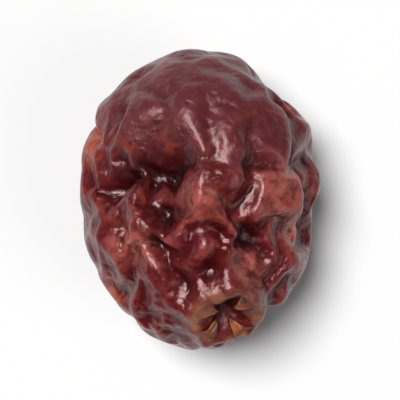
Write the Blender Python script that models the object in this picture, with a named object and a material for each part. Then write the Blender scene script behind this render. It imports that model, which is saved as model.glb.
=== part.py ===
"""A dried cranberry: one solid berry whose skin has shrunk into hollows, creases and winding folds.

The berry lies on its side on a small flat spot. +Z is up, +Y runs along the berry towards its stem end, and
the origin is under its middle, at the level that it rests on. Sizes are in metres.
"""

import math
import random

import bmesh
import bpy
import numpy as np
from mathutils import Vector

MM = 0.001

# The whole berry, measured over its skin.
LENGTH = 14.0 * MM
WIDTH = 11.2 * MM
HEIGHT = 8.8 * MM
TAPER = 0.05  # the stem end is wider than the middle by this share, and the calyx end narrower
LUMPS = (8.0 * MM, 0.15 * MM)  # how far apart the unevennesses of the outline are, and how high

# The underside, pressed flat where the berry lies.
BASE_SINK = 0.50 * MM
BASE_ROUND = 0.25 * MM  # the soft bend between the flat spot and the sides
BASE_FLAT = 0.35  # the share of the soft bend that is cut off flat
BASE_CALM = 0.85  # the share of the folds that is pressed out in the middle of the underside
BASE_CALM_REACH = (0.5, 0.95)  # from where to where, as how far a direction points down

# Round its widest part the berry keeps more of its egg shape than on top.
SIDE_CALM = 0.40
SIDE_REACH = 0.45  # how far up or down, as how far a direction points up or down

# The skin is drawn on a cube of GRID by GRID squares a side, blown up to a ball, and finer round the calyx.
GRID = 28
CALYX_ZONE = 0.42  # radians from the calyx

# Where the flower and the stalk sat: directions from the berry's middle, as (across, along, up).
CALYX = Vector((0.20, -0.75, 0.63)).normalized()
STEM = Vector((-0.12, 0.90, -0.40)).normalized()

# The scar of the flower: a raised rim with a lobe for each sepal, round a pit, in a ring of puckered skin.
SEPALS = 4
SEPAL_REACH = 0.22 * MM  # how much further the rim stands from the middle at a sepal
SEPAL_TWIST = 0.8  # how unevenly the sepals are spread, in radians
RIM_RADIUS = 1.38 * MM
RIM_WIDTH = 0.46 * MM
RIM_RISE = 0.38 * MM
RIM_LOW = 0.7  # how high it is between two sepals, as a share
PIT_RADIUS = 0.85 * MM
PIT_FLOOR = 0.1  # the share of its radius that is flat
PIT_FLARE = 1.7  # how much further the pit opens towards a sepal, in reaches of the sepal
PIT_DEPTH = 0.80 * MM
MOAT_RADIUS = 2.30 * MM
MOAT_WIDTH = 0.42 * MM
MOAT_DEPTH = 0.14 * MM
MOAT_DIPS = 3
MOAT_UNEVEN = 0.4  # how much deeper it is in its dips, and shallower between them, as a share
PUCKERS = 9
PUCKER_RISE = 0.10 * MM
PUCKER_WIDTH = 0.84 * MM
PUCKER_TWIST = 2.0  # how unevenly the puckers are spread, in radians
CALYX_CLEAR = (0.9, 1.8)  # from where to where the folds begin, in rim radii

# The scar of the stalk: a dimple with a low knob in it.
DIMPLE_RADIUS = 1.3 * MM
DIMPLE_DEPTH = 0.50 * MM
KNOB_RADIUS = 0.5 * MM
KNOB_RISE = 0.28 * MM
STEM_CLEAR = 1.8 * MM  # from this far out the folds are whole

# Places on the upper side are seen from above, as shares of half the width and half the length.
# A hollow is (across, along, half its length, half its width, turn in degrees, depth).
# A negative depth is a bulge.
HOLLOWS = (
    (-0.46, 0.20, 2.3 * MM, 1.30 * MM, 4, 1.40 * MM),
    (-0.34, -0.08, 1.6 * MM, 0.80 * MM, -68, 0.55 * MM),
    (0.30, -0.03, 0.9 * MM, 0.60 * MM, 62, 0.40 * MM),
    (0.60, -0.24, 1.5 * MM, 0.85 * MM, -20, 0.50 * MM),
    (-0.46, -0.40, 0.9 * MM, 0.55 * MM, 50, 0.40 * MM),
    (-0.72, -0.52, 1.6 * MM, 0.80 * MM, -55, 0.40 * MM),
    (-0.12, -0.52, 1.2 * MM, 0.65 * MM, -40, 0.35 * MM),
    (0.04, 0.02, 0.95 * MM, 0.60 * MM, -60, -0.32 * MM),
    (0.22, 0.45, 1.6 * MM, 0.85 * MM, 84, -0.24 * MM),
    (0.56, 0.44, 1.5 * MM, 0.85 * MM, 98, -0.24 * MM),
    (0.66, 0.06, 1.1 * MM, 0.70 * MM, -6, -0.28 * MM),
)

# A fold line is (across, along) of its start and of its end, its bow as a share, and its rise.
# A negative rise is a crease.
FOLD_LINES = (
    ((0.00, 0.62), (0.05, 0.26), 0.03, -0.30 * MM),
    ((0.10, 0.24), (0.86, 0.24), -0.05, -0.42 * MM),
    ((0.40, 0.66), (0.38, 0.30), 0.02, -0.20 * MM),
    ((-0.10, -0.24), (0.66, -0.48), 0.05, -0.55 * MM),
    ((-0.10, -0.28), (-0.14, 0.04), -0.03, -0.30 * MM),
    ((-0.56, 0.00), (-0.60, -0.22), 0.03, 0.30 * MM),
    ((-0.60, -0.20), (-0.74, -0.40), 0.02, 0.26 * MM),
    ((-0.60, -0.20), (-0.22, -0.50), -0.06, 0.26 * MM),
    ((0.40, -0.04), (0.92, -0.08), -0.04, 0.22 * MM),
    ((0.40, -0.04), (0.46, -0.24), 0.03, 0.22 * MM),
    ((-0.52, -0.50), (-0.20, -0.74), 0.04, 0.22 * MM),
    ((-0.62, 0.36), (-0.10, 0.34), 0.06, 0.22 * MM),
    ((0.20, -0.36), (0.62, -0.44), 0.03, 0.24 * MM),
)
FOLD_LINE_WIDTH = 0.34 * MM
FOLD_LINE_STEPS = 8
FOLD_LINE_END = 0.12  # how strong a line still is at its ends, as a share of half a wave

# The hollows of the sides and the underside, spread evenly between the named ones.
MORE_HOLLOWS = 13
MORE_HOLLOWS_SIZE = (1.9 * MM, 1.0 * MM, 0.62 * MM)  # half the length, half the width, depth
MORE_HOLLOWS_SPREAD = (0.7, 1.3)  # the least and the most of these sizes, as shares
SMOOTH_PLACE = (0.0, 0.7)  # a place on the upper side that stays free of them
SPREAD_TRIES = 24

# Winding folds all over the skin: how far apart their crests are, and how high they stand.
WINDING_FOLDS = (
    (3.2 * MM, 0.25 * MM),
    (1.8 * MM, 0.21 * MM),
    (1.1 * MM, 0.09 * MM),
)
FOLD_SHARPNESS = 1.6  # more makes round bulges between narrow folds
LENGTHWISE = 0.5  # 1 is the same in all directions, and less makes the folds run along the berry
WAVES = 28  # how many waves are mixed for each kind of fold
MEANDER = (3.0 * MM, 0.55 * MM)  # how far apart the bends of the folds are, and how wide
MEANDER_SHARE = 0.4  # the share of these bends that the hollows and the fold lines follow
SLACK_PATCHES = 7.0 * MM  # how far apart the patches of slack skin are
SLACK_EDGE = 2.5  # more makes a sharper edge between slack and plump skin
PLUMP_FROM = 0.25  # the skin gets plump towards the upper side of the stem end, from this place
PLUMP_TO = 0.55
PLUMP_CALM = 0.55  # the share of the winding folds that plump skin lacks

# Crests end at about the same level, like the skin of the plump berry, so the outline stays even.
CREST_LEVEL = 0.12 * MM
CREST_ROUND = 0.14 * MM

FOLD_SEED = 9
HOLLOW_SEED = 4


def on_fresh_berry(direction):
    """The point of the plump fresh berry in this direction, from its middle."""
    widen = 1 + TAPER * direction[1]
    return np.array(
        (direction[0] * WIDTH / 2 * widen, direction[1] * LENGTH / 2, direction[2] * HEIGHT / 2 * widen)
    )


def seen_from_above(across, along):
    """The direction of a place on the upper side."""
    return Vector((across, along, math.sqrt(max(0.0, 1 - across**2 - along**2)))).normalized()


def fade(distance, start, end):
    """0 up to start, 1 from end on, smooth between."""
    t = np.clip((distance - start) / (end - start), 0, 1)
    return t * t * (3 - 2 * t)


def waves(points, spacing, source):
    """A smooth random field of about -2 to 2. Its crests are about spacing apart."""
    total = np.zeros(len(points))
    for _ in range(WAVES):
        way = Vector([source.gauss(0, 1) for _ in range(3)])
        way.y *= LENGTHWISE
        way.normalize()
        total += np.cos(points @ np.array(way) * math.tau / spacing + source.uniform(0, math.tau))
    return total * math.sqrt(2 / WAVES)


def hollow(points, direction, lengthways, half_length, half_width, depth):
    """How deep one long hollow is at each point."""
    longways = np.array((lengthways - lengthways.project(direction)).normalized())
    away = points - on_fresh_berry(direction)
    along = away @ longways
    beside = np.linalg.norm(away - along[:, None] * longways, axis=1)
    return depth * np.exp(-((along / half_length) ** 2) - (beside / half_width) ** 2)


def fold_line(points, start, end, bow, rise):
    """How far the skin stands out along one bowed line that fades at both ends."""
    shares = np.linspace(0, 1, FOLD_LINE_STEPS)
    sideways = (-(end[1] - start[1]), end[0] - start[0])
    span = math.hypot(*sideways)
    line = []
    for share in shares:
        swing = 4 * bow * share * (1 - share) / span
        across = start[0] + (end[0] - start[0]) * share + sideways[0] * swing
        along = start[1] + (end[1] - start[1]) * share + sideways[1] * swing
        line.append(on_fresh_berry(seen_from_above(across, along)))
    out = np.zeros(len(points))
    for a, b, share in zip(line, line[1:], shares):
        place = np.clip((points - a) @ (b - a) / ((b - a) @ (b - a)), 0, 1)
        away = np.linalg.norm(points - a - place[:, None] * (b - a), axis=1)
        along = share + place * shares[1]
        strength = np.sin(math.pi * (FOLD_LINE_END + (1 - 2 * FOLD_LINE_END) * along))
        out = np.maximum(out, strength * np.exp(-((away / FOLD_LINE_WIDTH) ** 2)))
    return rise * out


def any_direction(source):
    return Vector([source.gauss(0, 1) for _ in range(3)]).normalized()


def spread_directions(taken, count, source):
    """count more unit directions, each as far as it can be from those already taken."""
    found = list(taken)
    while len(found) < len(taken) + count:
        tries = [any_direction(source) for _ in range(SPREAD_TRIES)]
        found.append(max(tries, key=lambda t: min((t - f).length for f in found)))
    return found[len(taken):]


def hollows_and_lines(points):
    """How far the skin stands out in all the hollows, bulges, creases and crests with a place."""
    source = random.Random(HOLLOW_SEED)
    out = np.zeros(len(points))
    for across, along, half_length, half_width, turn, depth in HOLLOWS:
        place = seen_from_above(across, along)
        lengthways = Vector((math.cos(math.radians(turn)), math.sin(math.radians(turn)), 0))
        out -= hollow(points, place, lengthways, half_length, half_width, depth)
    named = [seen_from_above(h[0], h[1]) for h in HOLLOWS]
    named += [seen_from_above(*SMOOTH_PLACE), CALYX, STEM]
    for place in spread_directions(named, MORE_HOLLOWS, source):
        half_length, half_width, depth = [s * source.uniform(*MORE_HOLLOWS_SPREAD) for s in MORE_HOLLOWS_SIZE]
        out -= hollow(points, place, any_direction(source), half_length, half_width, depth)
    for start, end, bow, rise in FOLD_LINES:
        out += fold_line(points, start, end, bow, rise)
    return out


def winding_folds(points, source):
    """How far the winding folds stand out: crests on slack skin, creases in plump skin."""
    slack = 1 / (1 + np.exp(-SLACK_EDGE * waves(points, SLACK_PATCHES, source)))
    middle = math.log(2)
    out = np.zeros(len(points))
    for spacing, height in WINDING_FOLDS:
        field = FOLD_SHARPNESS * waves(points, spacing, source)
        crests = np.logaddexp(0, field) - middle
        creases = middle - np.logaddexp(0, -field)
        out += height * (slack * crests + (1 - slack) * creases)
    return out


def ring(away, radius, width):
    return np.exp(-(((away - radius) / width) ** 2))


def calyx_scar(points):
    """How far the skin stands out round the scar of the flower, and how much of the folds stays there."""
    from_calyx = points - on_fresh_berry(CALYX)
    away = np.linalg.norm(from_calyx, axis=1)
    side = np.array(CALYX.orthogonal().normalized())
    other = np.cross(np.array(CALYX), side)
    turn = np.arctan2(from_calyx @ other, from_calyx @ side)
    sepals = 0.5 + 0.5 * np.cos(SEPALS * turn + SEPAL_TWIST * np.sin(turn))
    rim_height = RIM_RISE * (RIM_LOW + (1 - RIM_LOW) * sepals)
    out = rim_height * ring(away, RIM_RADIUS + SEPAL_REACH * sepals, RIM_WIDTH)
    out -= PIT_DEPTH * (1 - fade(away, PIT_FLOOR * PIT_RADIUS, PIT_RADIUS + PIT_FLARE * SEPAL_REACH * sepals))
    dips = 1 + MOAT_UNEVEN * np.cos(MOAT_DIPS * turn + 1)
    out -= MOAT_DEPTH * ring(away, MOAT_RADIUS, MOAT_WIDTH) * dips
    puckers = PUCKERS * turn + PUCKER_TWIST * np.sin(turn)
    out += PUCKER_RISE * ring(away, MOAT_RADIUS, PUCKER_WIDTH) * np.cos(puckers)
    return out, fade(away, CALYX_CLEAR[0] * RIM_RADIUS, CALYX_CLEAR[1] * RIM_RADIUS)


def stem_scar(points):
    """How far the skin stands out round the scar of the stalk, and how much of the folds stays there."""
    away = np.linalg.norm(points - on_fresh_berry(STEM), axis=1)
    out = KNOB_RISE * ring(away, 0, KNOB_RADIUS) - DIMPLE_DEPTH * ring(away, 0, DIMPLE_RADIUS)
    return out, fade(away, KNOB_RADIUS, STEM_CLEAR)


def dried(directions):
    """The points of the dried skin in these unit directions."""
    source = random.Random(FOLD_SEED)
    fresh = np.array([on_fresh_berry(d) for d in directions])
    bends, swing = MEANDER
    shift = np.stack([waves(fresh, bends, source) for _ in range(3)], axis=1)
    moved = fresh + 0.5 * swing * shift
    lumps = LUMPS[1] * waves(fresh, LUMPS[0], source)
    around_calyx, calyx_keeps = calyx_scar(fresh)
    around_stem, stem_keeps = stem_scar(fresh)
    plump = fade(fresh[:, 1] / LENGTH + 0.5 * fresh[:, 2] / HEIGHT, PLUMP_FROM, PLUMP_TO)
    placed = hollows_and_lines(fresh + MEANDER_SHARE * (moved - fresh))
    folds = winding_folds(moved, source) * (1 - PLUMP_CALM * plump)
    rise = calyx_keeps * stem_keeps * (placed + folds)
    rise = CREST_LEVEL - CREST_ROUND * np.logaddexp(0, (CREST_LEVEL - rise) / CREST_ROUND)
    rise *= 1 - SIDE_CALM * (1 - fade(abs(directions[:, 2]), 0, SIDE_REACH))
    pressed = BASE_CALM * fade(-directions[:, 2], *BASE_CALM_REACH)
    out = (1 - pressed) * (rise + lumps) + around_calyx + around_stem
    return fresh + out[:, None] * directions


def lie_down(skin):
    """Presses the underside flat and fits the skin to its length, width and height."""
    height = skin[:, 2] - skin[:, 2].min() - BASE_SINK
    height = BASE_ROUND * np.logaddexp(0, height / BASE_ROUND) - BASE_FLAT * BASE_ROUND
    skin[:, 2] = np.clip(height, 0, None)
    low, high = skin.min(axis=0), skin.max(axis=0)
    size = np.array((WIDTH, LENGTH, HEIGHT))
    middle = np.array(((low[0] + high[0]) / 2, (low[1] + high[1]) / 2, low[2]))
    return (skin - middle) * size / (high - low)


def ball_grid():
    """A cube of squares blown up to a unit ball, with finer squares round the calyx."""
    grid = bmesh.new()
    bmesh.ops.create_cube(grid, size=2)
    bmesh.ops.subdivide_edges(grid, edges=grid.edges[:], cuts=GRID - 1, use_grid_fill=True)
    for vert in grid.verts:
        vert.co = Vector([math.tan(c * math.pi / 4) for c in vert.co]).normalized()
    zone = [e for e in grid.edges if all(v.co.angle(CALYX) < CALYX_ZONE for v in e.verts)]
    bmesh.ops.subdivide_edges(grid, edges=zone, cuts=1, use_grid_fill=True)
    for vert in grid.verts:
        vert.co.normalize()
    return grid


def make_berry():
    grid = ball_grid()
    directions = np.array([v.co[:] for v in grid.verts])
    skin = lie_down(dried(directions))
    for vert, point in zip(grid.verts, skin):
        vert.co = point
    bmesh.ops.triangulate(grid, faces=grid.faces[:])
    mesh = bpy.data.meshes.new("dried_cranberry")
    grid.to_mesh(mesh)
    grid.free()
    mesh.shade_smooth()
    return bpy.data.objects.new("dried_cranberry", mesh)


def skin_material():
    material = bpy.data.materials.new("cranberry_skin")
    material.use_nodes = True
    shader = material.node_tree.nodes["Principled BSDF"]
    shader.inputs["Base Color"].default_value = (0.10, 0.012, 0.014, 1)
    shader.inputs["Roughness"].default_value = 0.35
    shader.inputs["Metallic"].default_value = 0.0
    return material


def main():
    for old in list(bpy.data.objects):
        bpy.data.objects.remove(old)
    collection = bpy.data.collections.new("dried_cranberry")
    bpy.context.scene.collection.children.link(collection)
    berry = make_berry()
    berry.data.materials.append(skin_material())
    collection.objects.link(berry)


if __name__ == "__main__":
    main()
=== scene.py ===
import math
import random

import bpy
import numpy as np
from mathutils import Matrix, Vector


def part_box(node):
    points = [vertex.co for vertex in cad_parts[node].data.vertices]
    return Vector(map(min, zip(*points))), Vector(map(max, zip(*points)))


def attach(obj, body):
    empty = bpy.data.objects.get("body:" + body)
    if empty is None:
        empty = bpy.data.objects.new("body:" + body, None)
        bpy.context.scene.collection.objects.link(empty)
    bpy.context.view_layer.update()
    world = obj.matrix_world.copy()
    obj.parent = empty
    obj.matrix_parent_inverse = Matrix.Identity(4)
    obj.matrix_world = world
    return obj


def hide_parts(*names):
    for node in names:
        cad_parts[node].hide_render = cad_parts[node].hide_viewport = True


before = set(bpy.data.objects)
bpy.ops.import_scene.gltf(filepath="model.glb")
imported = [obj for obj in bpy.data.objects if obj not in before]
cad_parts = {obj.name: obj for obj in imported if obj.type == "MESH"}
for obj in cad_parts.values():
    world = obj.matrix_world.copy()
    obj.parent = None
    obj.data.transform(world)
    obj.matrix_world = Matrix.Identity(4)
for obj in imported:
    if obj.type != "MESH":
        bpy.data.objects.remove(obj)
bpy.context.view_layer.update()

# The berry's skin.
# A dried cranberry keeps all the skin of the plump berry while its flesh shrinks away beneath. The skin is
# leathery, a fifth of a millimetre thick, and buckles into folds and creases as it sinks in. Here it starts
# as a copy of the solid, grows a little too large for it, and wrinkles by simulation as it is held back.
MM = 0.001
CAD_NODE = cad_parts["dried_cranberry"]
LOW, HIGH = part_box("dried_cranberry")
MIDDLE = (LOW + HIGH) / 2
MERGED_WITHIN = 0.002 * MM
QUAD_ANGLE = math.radians(80)  # two triangles become a quad up to this angle

berry = bpy.data.objects.new("berry_skin", CAD_NODE.data.copy())
bpy.context.scene.collection.objects.link(berry)
bpy.ops.object.select_all(action="DESELECT")
berry.select_set(True)
bpy.context.view_layer.objects.active = berry
bpy.ops.object.mode_set(mode="EDIT")
bpy.ops.mesh.select_all(action="SELECT")
bpy.ops.mesh.remove_doubles(threshold=MERGED_WITHIN)
bpy.ops.mesh.tris_convert_to_quads(face_threshold=QUAD_ANGLE, shape_threshold=QUAD_ANGLE)
bpy.ops.object.mode_set(mode="OBJECT")


def round_off(piece, levels):
    """Rounds the active piece by dividing its faces this many times."""
    rounding = piece.modifiers.new("rounding", "SUBSURF")
    rounding.levels = rounding.render_levels = levels
    bpy.ops.object.modifier_apply(modifier=rounding.name)


def points(attribute="co"):
    """All the skin's points, or their normals, as an array."""
    mesh = berry.data
    out = np.empty(len(mesh.vertices) * 3)
    if attribute == "co":
        mesh.vertices.foreach_get("co", out)
    else:
        mesh.vertex_normals.foreach_get("vector", out)
    return out.reshape(-1, 3)


def ramp(values, zero_at, one_at):
    """0 up to the first of these values, 1 from the second one on, and even between."""
    return np.clip((values - zero_at) / (one_at - zero_at), 0, 1)


def off(places, spot):
    """How far these places are from the spot, all in mm."""
    return np.linalg.norm(places - np.array(spot), axis=1)


def smoothed(values, rounds):
    """The values at the skin's points, each averaged with its neighbours this many times."""
    edges = np.empty(len(berry.data.edges) * 2, int)
    berry.data.edges.foreach_get("vertices", edges)
    one, other = edges[::2], edges[1::2]
    count = len(berry.data.vertices)
    neighbours = np.bincount(edges, minlength=count)[:, None]
    for _ in range(rounds):
        total = np.stack(
            [
                np.bincount(one, values[other, axis], count) + np.bincount(other, values[one, axis], count)
                for axis in range(values.shape[1])
            ],
            axis=1,
        )
        values = 0.5 * values + 0.5 * total / neighbours
    return values


# Where the skin is tied down: round each scar, as (middle, where the hold ends, where it is full), and at the
# flat spot, by height. Then where the berry stays plump and smooth, by length and by height. All in mm.
TIED_AT_FLOWER = ((1.12, -5.05, 6.80), 3.1, 2.0)
TIED_AT_STALK = ((-0.47, 6.21, 2.34), 1.4, 0.5)
TIED_AT_BASE = (0.48, 0.08)
PLUMP_ALONG = (0.8, 3.2)
PLUMP_UP = (4.0, 6.0)
SIMULATED_AT = 100  # the berry is simulated this many times larger, at the size of real cloth
FRAMES = 18
QUALITY = 6
SKIN_MASS = 0.3
STIFFNESS = 30.0  # against stretching
SHEAR_STIFFNESS = 5.0
HELD_STRENGTH = 0.8
# The stiffness against bending, how firmly the flesh holds the skin, the share that the skin is too large,
# how much tauter its plump end is, and how firmly it is tied down round the scars.
BROAD_FOLDS = {"bending": 16.0, "held_by": 0.25, "too_large": 0.09, "calm": 0.85, "grip": 1.0}
FINE_FOLDS = {"bending": 0.6, "held_by": 0.50, "too_large": 0.06, "calm": 0.60, "grip": 0.5}
SWELLING_ROUNDS = 150
FOLD_SHARE = 0.7  # how much of the folds stays, as a moist berry is less sharp than cloth
CREST_LEVEL = 0.10 * MM  # how far the crests may stand above the skin of the solid
CREST_ROUND = 0.08 * MM

round_off(berry, 1)
place = points() / MM
flower_tied = ramp(off(place, TIED_AT_FLOWER[0]), *TIED_AT_FLOWER[1:])
stalk_tied = ramp(off(place, TIED_AT_STALK[0]), *TIED_AT_STALK[1:])
round_scars = np.maximum(flower_tied, stalk_tied)
at_base = ramp(place[:, 2], *TIED_AT_BASE)
plump = ramp(place[:, 1], *PLUMP_ALONG) * ramp(place[:, 2], *PLUMP_UP)


def wrinkle(bending, held_by, too_large, calm, grip):
    """Grows the skin by this share while the flesh holds it, so that it buckles into folds."""
    tied = np.maximum(grip * round_scars, at_base)
    held = berry.vertex_groups.new(name="held")
    taut = berry.vertex_groups.new(name="taut")
    for index in range(len(place)):
        held.add([index], held_by + (1 - held_by) * tied[index], "REPLACE")
        taut.add([index], max(calm * plump[index], tied[index]), "REPLACE")
    berry.data.transform(Matrix.Scale(SIMULATED_AT, 4))
    cloth = berry.modifiers.new("wrinkling", "CLOTH")
    skin = cloth.settings
    skin.quality = QUALITY
    skin.mass = SKIN_MASS
    skin.tension_stiffness = skin.compression_stiffness = STIFFNESS
    skin.shear_stiffness = SHEAR_STIFFNESS
    skin.bending_stiffness = bending
    skin.vertex_group_mass = held.name
    skin.pin_stiffness = HELD_STRENGTH
    skin.vertex_group_shrink = taut.name
    skin.shrink_min = -too_large
    skin.shrink_max = 0.0
    skin.effector_weights.gravity = 0
    cloth.collision_settings.use_collision = False
    cloth.point_cache.frame_end = FRAMES
    for step in range(1, FRAMES + 1):
        bpy.context.scene.frame_set(step)
    bpy.ops.object.modifier_apply(modifier=cloth.name)
    bpy.context.scene.frame_set(1)
    berry.data.transform(Matrix.Scale(1 / SIMULATED_AT, 4))
    berry.vertex_groups.clear()


unwrinkled = points()
outward = points("normal")
wrinkle(**BROAD_FOLDS)
wrinkle(**FINE_FOLDS)
# The folds stay, and the broad swelling that comes with them is taken back. Their crests end at about the
# same level, so the berry keeps its shape.
wrinkles = points() - unwrinkled
wrinkles = FOLD_SHARE * (wrinkles - smoothed(wrinkles, SWELLING_ROUNDS))
rise = np.einsum("ij,ij->i", wrinkles, outward)
level_rise = CREST_LEVEL - CREST_ROUND * np.logaddexp(0, (CREST_LEVEL - rise) / CREST_ROUND)
wrinkles += (level_rise - rise)[:, None] * outward
berry.data.vertices.foreach_set("co", (unwrinkled + wrinkles).ravel())
round_off(berry, 1)


def near(places, spot, reach):
    """1 at this spot, 0 further off than its reach, and smooth between, all in mm."""
    distance = np.clip(off(places, spot) / reach, 0, 1)
    return (1 - distance) ** 2 * (1 + 2 * distance)


# The flank that stays full, as (place, reach, rise) in mm, and the stalk's scar, a dent with a low rim.
FULL_FLANK = ((-4.9, 3.5, 4.4), 2.2, 0.40)
STALK_SCAR = TIED_AT_STALK[0]
STALK_DENT_RADIUS = 0.50
STALK_DENT_DEPTH = 0.45
STALK_RIM_RADIUS = 0.85
STALK_RIM_WIDTH = 0.22
STALK_RIM_HEIGHT = 0.16

moved = points()
outward = points("normal")
from_stalk = off(moved / MM, STALK_SCAR)
stalk_rim = np.exp(-(((from_stalk - STALK_RIM_RADIUS) / STALK_RIM_WIDTH) ** 2))
stalk_dent = np.exp(-((from_stalk / STALK_DENT_RADIUS) ** 2))
rise = FULL_FLANK[2] * near(moved / MM, *FULL_FLANK[:2])
rise += STALK_RIM_HEIGHT * stalk_rim - STALK_DENT_DEPTH * stalk_dent
moved += rise[:, None] * MM * outward
moved[:, 2] = np.maximum(moved[:, 2], 0)
low, high = moved.min(axis=0), moved.max(axis=0)
moved = (moved - low) / (high - low) * np.array(HIGH - LOW) + np.array(LOW)
berry.data.vertices.foreach_set("co", moved.ravel())
berry.data.update()
berry.data.shade_smooth()

# The places that the skin's colours follow, as (place, reach) in mm: where the skin is thin and a painted
# glow stands for the light coming through, where a fold bulges into the light and gets a painted highlight,
# and where it has sunk in and gets painted shade.
THIN = (((-5.2, 2.6, 5.0), 1.6), ((-4.6, 0.4, 6.6), 1.2), ((4.4, 4.0, 4.5), 1.5), ((-4.0, -4.4, 4.2), 1.8))
HIGHLIGHT_SPOTS = (
    ((3.5, 0.4, 7.0), 2.0),
    ((4.4, -1.4, 5.9), 1.5),
    ((2.2, -2.9, 7.6), 1.3),
    ((0.2, 0.0, 8.2), 1.3),
    ((-3.2, -1.9, 7.0), 1.7),
)
SHADED_HOLLOWS = (((-2.7, 1.1, 6.6), 2.3), ((-1.9, -0.8, 6.9), 1.6))
SHEEN_ALONG = (0.5, 3.0)  # where the plump end gets a painted sheen, by length and by height
SHEEN_UP = (3.5, 6.0)
# The flower's scar, with its raised rim and the pit inside, by the distance from its axis and over its rim.
SCAR_MIDDLE = (1.19, -5.28, 6.93)
SCAR_AXIS = Vector((0.216, -0.618, 0.756)).normalized()
RIM_RADIUS = 1.42
RIM_WIDTH = 0.30
SCAR_ENDS = (-2.2, -1.4)
PIT_WALL = (1.15, 0.80)
PIT_SHADE = (-0.10, -0.55)
LIFT_ROUNDS = {"fine_lift": 25, "broad_lift": 500}  # the skin is set against itself, smoothed this much


def keep(name, values):
    """Stores one number for each point of the skin, for the material."""
    attribute = berry.data.attributes.new(name, "FLOAT", "POINT")
    attribute.data.foreach_set("value", values.astype(np.float32))


where = moved / MM
for name, spots in (("thin", THIN), ("bulging", HIGHLIGHT_SPOTS), ("sunken", SHADED_HOLLOWS)):
    keep(name, np.max([near(where, *spot) for spot in spots], axis=0))
keep("bloom", ramp(where[:, 1], *SHEEN_ALONG) * ramp(where[:, 2], *SHEEN_UP))
keep("stalk_rim", stalk_rim)
keep("stalk_dent", stalk_dent)
from_scar = where - np.array(SCAR_MIDDLE)
above_rim = from_scar @ np.array(SCAR_AXIS)
off_axis = np.linalg.norm(from_scar - above_rim[:, None] * np.array(SCAR_AXIS), axis=1)
on_scar = ramp(above_rim, *SCAR_ENDS)
keep("rim", np.exp(-(((off_axis - RIM_RADIUS) / RIM_WIDTH) ** 2)) * on_scar)
keep("inside", ramp(off_axis, *PIT_WALL) * ramp(above_rim, *PIT_SHADE) * on_scar)
for name, rounds in LIFT_ROUNDS.items():
    keep(name, np.einsum("ij,ij->i", moved - smoothed(moved, rounds), points("normal")) / MM)


class Wire:
    """One output in a material's nodes, used in plain sums with numbers and other wires."""

    # The colour sockets of a Mix node, which shares their names with its other kinds.
    MIX_FIRST = 6
    MIX_SECOND = 7
    MIXED = 2

    def __init__(self, tree, socket=None):
        self.tree = tree
        self.socket = socket

    def node(self, kind, settings, inputs, output=0):
        """A new node with these settings and inputs, as the wire of one of its outputs."""
        made = self.tree.nodes.new(kind)
        for name, value in settings.items():
            setattr(made, name, value)
        for name, value in inputs.items():
            if isinstance(value, Wire):
                self.tree.links.new(value.socket, made.inputs[name])
            else:
                made.inputs[name].default_value = value
        return Wire(self.tree, made.outputs[output])

    def feeds(self, socket):
        """Joins this wire to a socket of the shader."""
        self.tree.links.new(self.socket, socket)

    def maths(self, operation, first, second):
        return self.node("ShaderNodeMath", {"operation": operation}, {0: first, 1: second})

    def __add__(self, other):
        return self.maths("ADD", self, other)

    def __radd__(self, other):
        return self.maths("ADD", other, self)

    def __sub__(self, other):
        return self.maths("SUBTRACT", self, other)

    def __rsub__(self, other):
        return self.maths("SUBTRACT", other, self)

    def __mul__(self, other):
        return self.maths("MULTIPLY", self, other)

    def __rmul__(self, other):
        return self.maths("MULTIPLY", other, self)

    def rising(self, start, end):
        """0 where this is below start, 1 above end, and smooth between."""
        settings = {"interpolation_type": "SMOOTHSTEP"}
        return self.node("ShaderNodeMapRange", settings, {"Value": self, "From Min": start, "From Max": end})

    def from_to(self, first, second):
        """The first number where this is 0, the second where it is 1, and even between."""
        return first + (second - first) * self

    def between(self, colour, other):
        """colour where this is 0, and other where it is 1."""
        inputs = {"Factor": self, self.MIX_FIRST: colour, self.MIX_SECOND: other}
        return self.node("ShaderNodeMix", {"data_type": "RGBA"}, inputs, self.MIXED)

    def kept(self, name):
        """The number that the mesh keeps under this name."""
        return self.node("ShaderNodeAttribute", {"attribute_name": name}, {}, "Fac")

    def speckle(self, size, detail, distortion, kind="FBM"):
        """Uneven patches of about this size, from 0 to 1, that stay in their places on the piece."""
        where = self.node("ShaderNodeTexCoord", {}, {}, "Object")
        inputs = {"Vector": where, "Scale": 1 / size, "Detail": detail, "Distortion": distortion}
        return self.node("ShaderNodeTexNoise", {"noise_type": kind}, inputs)


# The darkest red is the painted shade in the skin's hollows, and also the colour of its small dark flecks.
DEEP_SHADE_AND_FLECKS = (0.016, 0.0010, 0.0016, 1)
GARNET = (0.090, 0.0050, 0.0070, 1)
CREST_GLOW = (0.250, 0.0480, 0.0440, 1)
MAUVE_SHEEN = (0.095, 0.0260, 0.0320, 1)
AMBER_GLOW = (0.300, 0.0420, 0.0120, 1)
SALMON_HIGHLIGHT = (0.460, 0.1200, 0.0880, 1)
CORK = (0.300, 0.1150, 0.0520, 1)
PIT_SHADOW = (0.060, 0.0040, 0.0030, 1)
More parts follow.
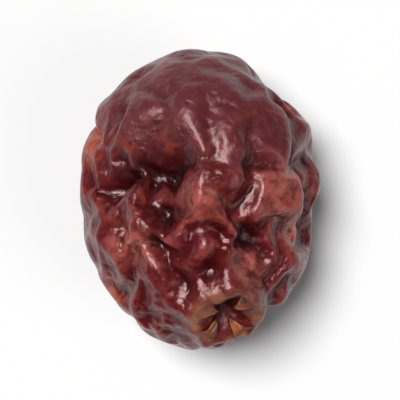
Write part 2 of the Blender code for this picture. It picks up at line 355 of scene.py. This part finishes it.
# Where a tint starts and where it is full, by how far the skin lies above the skin around it, in mm, or by
# its patches, whose mean is EVEN. A tint's own value is how much of it shows, at least and at most.
EVEN = 0.5
FINE_SHARE = 1.2
UNEVEN_DEPTH = 0.30
HOLLOW_SHADE_LIFT = (-0.45, 0.12)
HOLLOW_SHADE_TINT = (0.45, 0.95)
CREST_LIFT = (-0.01, 0.07)
CREST_PATCHES = (0.38, 0.62)
CREST_TINT = 0.8
SHEEN_LIFT = (-0.25, 0.10)
SHEEN_TINT = (0.20, 0.75)
AMBER_LIFT = (-0.30, 0.05)
AMBER_SPOTS = (0.60, 0.72)
AMBER_SPOT_TINT = 0.5
AMBER_MOTTLES = (0.25, 0.60)
HIGHLIGHT_LIFT = (-0.12, 0.03)
HIGHLIGHT_MOTTLES = 0.25
HIGHLIGHT_PATCHES = (0.35, 0.60)
HIGHLIGHT_TINT = (0.40, 0.90)
RIM_PATCHES = (0.35, 0.62)
RIM_TINT = (0.10, 0.85)
STALK_PATCHES = (0.36, 0.58)
STALK_TINT = 0.75
FLECKS = (0.30, 0.50)
FLECK_TINT = 0.35
SKIN_ROUGHNESS = 0.24
UNEVEN_ROUGHNESS = 0.20
COAT = (0.18, 0.02)  # the sticky film on the skin, and inside the pit
GRAIN_SIZE = 0.7 * MM
GRAIN_DEPTH = 0.11 * MM
MOTTLE_DEPTH = 0.5
SKIN_SOCKETS = {
    "IOR": 1.45,
    "Specular Tint": (1.0, 0.60, 0.60, 1),
    "Subsurface Weight": 0.30,
    "Subsurface Radius": (1.0, 0.10, 0.06),
    "Subsurface Scale": 0.5 * MM,
    "Coat Roughness": 0.20,
}


def material(name):
    """A new material, as a wire that isn't joined to anything yet, and its shader."""
    made = bpy.data.materials.new(name)
    made.use_nodes = True
    return made, Wire(made.node_tree), made.node_tree.nodes["Principled BSDF"]


finish, start, shader = material("cranberry_skin")
patches = start.speckle(3.0 * MM, detail=3.0, distortion=0.0)
small_patches = start.speckle(0.8 * MM, detail=5.0, distortion=0.6)
amber_spots = start.speckle(1.6 * MM, detail=2.0, distortion=0.8)
mottles = start.speckle(0.35 * MM, detail=4.0, distortion=0.4)
fine = start.kept("fine_lift")
depth = start.kept("broad_lift") + FINE_SHARE * fine + UNEVEN_DEPTH * (small_patches - EVEN)
# Painted shade: the skin darkens from garnet to near black the lower it lies against the skin around it,
# unevenly in small patches.
colour = depth.rising(*HOLLOW_SHADE_LIFT).between(DEEP_SHADE_AND_FLECKS, GARNET)
# Painted shade over the two deepest hollows, darker in some patches than in others.
sunken = start.kept("sunken") * patches.from_to(*HOLLOW_SHADE_TINT)
colour = sunken.between(colour, DEEP_SHADE_AND_FLECKS)
# Painted light: the crests of the fine folds are lighter and rosier in patches, as thin skin with light
# shining through it.
crest_glow = CREST_TINT * fine.rising(*CREST_LIFT) * small_patches.rising(*CREST_PATCHES)
colour = crest_glow.between(colour, CREST_GLOW)
# Painted sheen: a dull mauve veil over the raised parts of the plump end, in patches; the same area is also
# rougher.
bloom = start.kept("bloom")
colour = (bloom * patches.from_to(*SHEEN_TINT) * depth.rising(*SHEEN_LIFT)).between(colour, MAUVE_SHEEN)
# Painted glow: amber light shining through the thin skin at a few places and in scattered spots, on its
# raised parts.
amber_glow = start.kept("thin") + AMBER_SPOT_TINT * amber_spots.rising(*AMBER_SPOTS)
colour = (amber_glow * mottles.rising(*AMBER_MOTTLES) * depth.rising(*AMBER_LIFT)).between(colour, AMBER_GLOW)
# Painted highlight: pale salmon patches on the raised parts of the folds that bulge towards the light.
raised = (fine + HIGHLIGHT_MOTTLES * (mottles - EVEN)).rising(*HIGHLIGHT_LIFT)
bulging = start.kept("bulging") * raised * small_patches.rising(*HIGHLIGHT_PATCHES).from_to(*HIGHLIGHT_TINT)
colour = bulging.between(colour, SALMON_HIGHLIGHT)
rim = start.kept("rim")
colour = (rim * small_patches.rising(*RIM_PATCHES).from_to(*RIM_TINT)).between(colour, CORK)
stalk = STALK_TINT * start.kept("stalk_rim") * small_patches.rising(*STALK_PATCHES)
colour = stalk.between(colour, CORK)
# Painted shade: the stalk's dent and the pit inside the flower's scar are a dark red-black.
colour = start.kept("stalk_dent").between(colour, PIT_SHADOW)
inside = start.kept("inside")
colour = inside.between(colour, PIT_SHADOW)
flecks = FLECK_TINT * (1 - mottles.rising(*FLECKS))
colour = flecks.between(colour, DEEP_SHADE_AND_FLECKS)
colour.feeds(shader.inputs["Base Color"])

roughness = SKIN_ROUGHNESS + UNEVEN_ROUGHNESS * (small_patches - EVEN)
for mask, rougher in ((patches, 0.08), (bloom, 0.14), (rim, 0.20), (inside, 0.25)):
    roughness = roughness + rougher * mask
roughness.feeds(shader.inputs["Roughness"])
inside.from_to(*COAT).feeds(shader.inputs["Coat Weight"])
grain = start.speckle(GRAIN_SIZE, detail=5.0, distortion=0.8, kind="RIDGED_MULTIFRACTAL")
relief = {"Strength": 1.0, "Distance": GRAIN_DEPTH, "Height": grain + MOTTLE_DEPTH * mottles}
start.node("ShaderNodeBump", {"invert": True}, relief).feeds(shader.inputs["Normal"])
for name, value in SKIN_SOCKETS.items():
    shader.inputs[name].default_value = value
berry.data.materials.clear()
berry.data.materials.append(finish)

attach(berry, "root")
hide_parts("dried_cranberry")

# The dried sepals.
# Four small leaves of the flower stay on its scar. They are papery, brown, less than a tenth of a millimetre
# thick, grow out of the raised rim, and curl in over the pit as they dry.
SEPAL_COUNT = 4
SEED = 5
SEPAL_WIDTH = 1.05 * MM
SEPAL_THICKNESS = 0.07 * MM
SEPAL_FACES = (8, 10)  # across and along
# The line that a sepal follows, as (distance from the middle of the scar, height over its rim) in mm, and
# how much of it the shortest one has.
SEPAL_LINE = ((1.42, -0.24), (1.20, 0.18), (0.80, 0.08), (0.42, -0.36))
SHORTEST = 0.75
LEAN = 0.12 * MM  # how far a tip may stand to one side
TAPER = 0.75
BLUNT_TIP = 0.06
EDGE_WAVE = 0.12  # of the width
EDGE_WAVE_TURNS = 9
ANY_PHASE = 6  # radians
CRUMPLE = 0.06 * MM
CRUMPLE_TURNS = (5, 6)  # across and along
CUPPED = 0.14 * MM  # how far its edges stand above its middle
FLATTER_TIP = 0.6
CUP_TILT = 0.3
FIRST_TURN = 0.5
UNEVEN_TURN = 0.1

root, bend, curl, tip = [Vector(knot) * MM for knot in SEPAL_LINE]
leaves = []
source = random.Random(SEED)
for number in range(SEPAL_COUNT):
    bpy.ops.object.select_all(action="DESELECT")
    across_faces, along_faces = SEPAL_FACES
    bpy.ops.mesh.primitive_grid_add(
        x_subdivisions=across_faces, y_subdivisions=along_faces, size=1, location=(0, 0, 0)
    )
    leaf = bpy.context.object
    reach = source.uniform(SHORTEST, 1.0)
    lean = source.uniform(-LEAN, LEAN)
    phase = source.uniform(0, ANY_PHASE)
    along_leaf = leaf.data.attributes.new("along", "FLOAT", "POINT")
    for vert in leaf.data.vertices:
        across, along = 2 * vert.co.x, vert.co.y + 0.5
        t, u = reach * along, 1 - reach * along
        out, up = u**3 * root + 3 * u * u * t * bend + 3 * u * t * t * curl + t**3 * tip
        wave = 1 + EDGE_WAVE * math.sin(EDGE_WAVE_TURNS * along + phase)
        half = SEPAL_WIDTH / 2 * ((1 - along) ** TAPER + BLUNT_TIP) * wave
        crumple = CRUMPLE * math.sin(CRUMPLE_TURNS[0] * across + CRUMPLE_TURNS[1] * along + phase) * along
        cup = CUPPED * (abs(across) - 0.5) * (1 - FLATTER_TIP * along)
        vert.co = (across * half + lean * along**2, out + cup * CUP_TILT, up + crumple + cup)
        along_leaf.data[vert.index].value = along
    turn = math.tau * (number + source.uniform(-UNEVEN_TURN, UNEVEN_TURN)) / SEPAL_COUNT + FIRST_TURN
    leaf.data.transform(Matrix.Rotation(turn, 4, "Z"))
    leaf.data.transform(SCAR_AXIS.to_track_quat("Z", "Y").to_matrix().to_4x4())
    leaf.data.transform(Matrix.Translation(Vector(SCAR_MIDDLE) * MM))
    leaves.append(leaf)
bpy.ops.object.select_all(action="DESELECT")
for leaf in leaves:
    leaf.select_set(True)
bpy.context.view_layer.objects.active = leaves[0]
bpy.ops.object.join()
sepals = bpy.context.object
sepals.name = "dried_sepals"
wall = sepals.modifiers.new("wall", "SOLIDIFY")
wall.thickness = SEPAL_THICKNESS
wall.offset = 0
bpy.ops.object.modifier_apply(modifier=wall.name)
bpy.ops.object.mode_set(mode="EDIT")
bpy.ops.mesh.select_all(action="SELECT")
bpy.ops.mesh.normals_make_consistent(inside=False)
bpy.ops.object.mode_set(mode="OBJECT")
round_off(sepals, 2)
sepals.data.shade_smooth()

GOLDEN = (0.360, 0.1050, 0.0320, 1)
BROWN = (0.090, 0.0130, 0.0060, 1)
GOLDEN_ALONG = (0.10, 0.75)
GOLDEN_BLOTCHES = (0.32, 0.60)
FIBRES = (0.45, 0.65)
FIBRE_TINT = 0.5
FIBRE_DEPTH = 0.03 * MM
FIBRE_STRENGTH = 0.8
SEPAL_ROUGHNESS = (0.45, 0.75)
SEPAL_SOCKETS = {
    "Subsurface Weight": 0.2,
    "Subsurface Radius": (1.0, 0.4, 0.2),
    "Subsurface Scale": 0.15 * MM,
}
papery, start, shader = material("dried_sepal")
blotches = start.speckle(0.5 * MM, detail=4.0, distortion=0.5)
fibres = start.speckle(0.12 * MM, detail=5.0, distortion=1.0)
golden = start.kept("along").rising(*GOLDEN_ALONG) * blotches.rising(*GOLDEN_BLOTCHES)
colour = golden.between(BROWN, GOLDEN)
colour = (FIBRE_TINT * fibres.rising(*FIBRES)).between(colour, BROWN)
colour.feeds(shader.inputs["Base Color"])
blotches.from_to(*SEPAL_ROUGHNESS).feeds(shader.inputs["Roughness"])
relief = {"Strength": FIBRE_STRENGTH, "Distance": FIBRE_DEPTH, "Height": fibres}
start.node("ShaderNodeBump", {}, relief).feeds(shader.inputs["Normal"])
for name, value in SEPAL_SOCKETS.items():
    shader.inputs[name].default_value = value
sepals.data.materials.clear()
sepals.data.materials.append(papery)

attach(sepals, "root")

# The floor, the light and the camera.
# A pale matt table under two broad white lamps, the stronger one from the upper left, in a dim room with a
# white backdrop, and the camera straight above, as the berry is seen in the photograph.
FLOOR = 3000 * MM
TABLE_COLOUR = (0.72, 0.72, 0.72, 1)
TABLE_ROUGHNESS = 0.8
WHITE = (1, 1, 1, 1)
ROOM_LIGHT = 0.06
BACKDROP = 0.95
bpy.ops.object.select_all(action="DESELECT")
bpy.ops.mesh.primitive_plane_add(size=FLOOR, location=(0, 0, 0))
floor = bpy.context.object
floor.name = "floor"
table, _, shader = material("pale_table")
shader.inputs["Base Color"].default_value = TABLE_COLOUR
shader.inputs["Roughness"].default_value = TABLE_ROUGHNESS
floor.data.materials.append(table)

studio = bpy.data.worlds.new("studio")
studio.use_nodes = True
background = studio.node_tree.nodes["Background"]
background.inputs["Color"].default_value = WHITE
seen = Wire(studio.node_tree).node("ShaderNodeLightPath", {}, {}, "Is Camera Ray")
seen.from_to(ROOM_LIGHT, BACKDROP).feeds(background.inputs["Strength"])
bpy.context.scene.world = studio


def lamp(name, place, softness, strength):
    """A broad soft lamp in the direction of this place, in mm, as many degrees wide as its softness."""
    data = bpy.data.lights.new(name, "SUN")
    data.angle = math.radians(softness)
    data.energy = strength
    made = bpy.data.objects.new(name, data)
    made.location = Vector(place) * MM
    made.rotation_euler = (MIDDLE - made.location).to_track_quat("-Z", "Y").to_euler()
    bpy.context.scene.collection.objects.link(made)


lamp("key", (-50, 38, 155), softness=28, strength=4.1)
lamp("fill", (110, -50, 100), softness=35, strength=0.55)

LENS = 100
SENSOR = 36
FRAMED = 18.6 * MM  # the width of the picture at the berry's middle
NEAREST = 1 * MM
FARTHEST = 2000 * MM
camera = bpy.data.objects.new("camera", bpy.data.cameras.new("camera"))
camera.data.lens = LENS
camera.data.sensor_width = SENSOR
camera.data.clip_start = NEAREST
camera.data.clip_end = FARTHEST
camera.location = (MIDDLE.x, MIDDLE.y, MIDDLE.z + FRAMED * LENS / SENSOR)
bpy.context.scene.collection.objects.link(camera)
bpy.context.scene.camera = camera
bpy.context.scene.view_settings.view_transform = "Standard"
